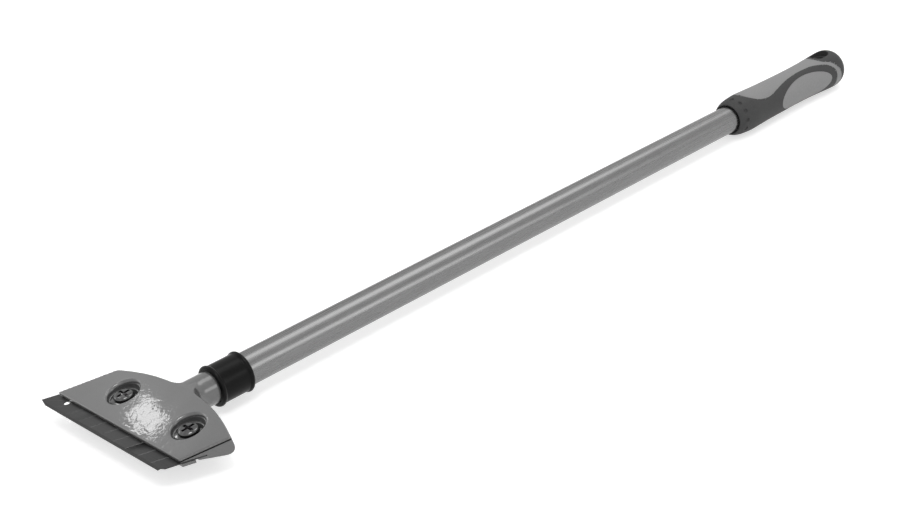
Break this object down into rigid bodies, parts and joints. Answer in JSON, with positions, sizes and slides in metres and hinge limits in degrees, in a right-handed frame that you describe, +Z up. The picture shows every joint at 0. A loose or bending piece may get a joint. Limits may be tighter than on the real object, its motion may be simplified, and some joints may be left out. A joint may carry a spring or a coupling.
{
  "type": "wallpaper scraper",
  "caption": "Long-handled wallpaper scraper with a wide slanted replaceable strip blade, cast head with two clamp screws, bright tube handle and a soft two-tone grip with a hanging hole.",
  "frame": {"origin": "centre of the hanging hole, on the axis of the handle", "axes": "+X along the handle away from the blade, +Y to the left when the blade points at the viewer and the top face is up, +Z up out of the top face of the head"},
  "size_m": [0.556, 0.1143, 0.0246],
  "materials": {
    "lacquered_casting": "glossy hammered lacquer on a die casting",
    "blade_steel": "ground, lightly oiled",
    "screw_chrome": "bright plated",
    "black_plastic": "satin black",
    "tube_aluminium": "brushed along the length",
    "grip_light": "fine matt grain",
    "grip_dark": "soft matt skin"
  },
  "bodies": {
    "handle": {"head_casting": "lacquered_casting", "washers": "screw_chrome", "tube_pin": "screw_chrome", "collar": "black_plastic", "handle_tube": "tube_aluminium", "grip_core": "grip_light", "grip_overmould": "grip_dark", "side_inlay_left": "grip_light", "side_inlay_right": "grip_light", "grip_end_cap": "grip_dark"},
    "blade_strip": {"blade": "blade_steel"},
    "clamp": {"clamp_plate": "lacquered_casting"},
    "screw_left": {"clamp_screw_left": "screw_chrome"},
    "screw_right": {"clamp_screw_right": "screw_chrome"}
  },
  "joints": [
    {"name": "clamp_slide", "type": "slide", "parent": "handle", "child": "clamp", "axis": [0.0663, 0, -0.9978], "range_m": [0, 0.0014]},
    {"name": "screw_left_turn", "type": "hinge", "parent": "handle", "child": "screw_left", "pos_m": [-0.51515, 0.02446, -0.00069], "axis": [-0.0663, 0, 0.9978], "range_deg": [0, 720]},
    {"name": "screw_right_turn", "type": "hinge", "parent": "handle", "child": "screw_right", "pos_m": [-0.51515, -0.02674, -0.00069], "axis": [-0.0663, 0, 0.9978], "range_deg": [0, 720]},
    {"name": "blade_slide", "type": "slide", "parent": "handle", "child": "blade_strip", "axis": [-0.8968, 0.4384, -0.0596], "range_m": [0, 0.012]}
  ],
  "couplings": [
    {"joint": "screw_left_turn", "follows": "clamp_slide", "rad_per_m": 8976},
    {"joint": "screw_right_turn", "follows": "clamp_slide", "rad_per_m": 8976}
  ]
}
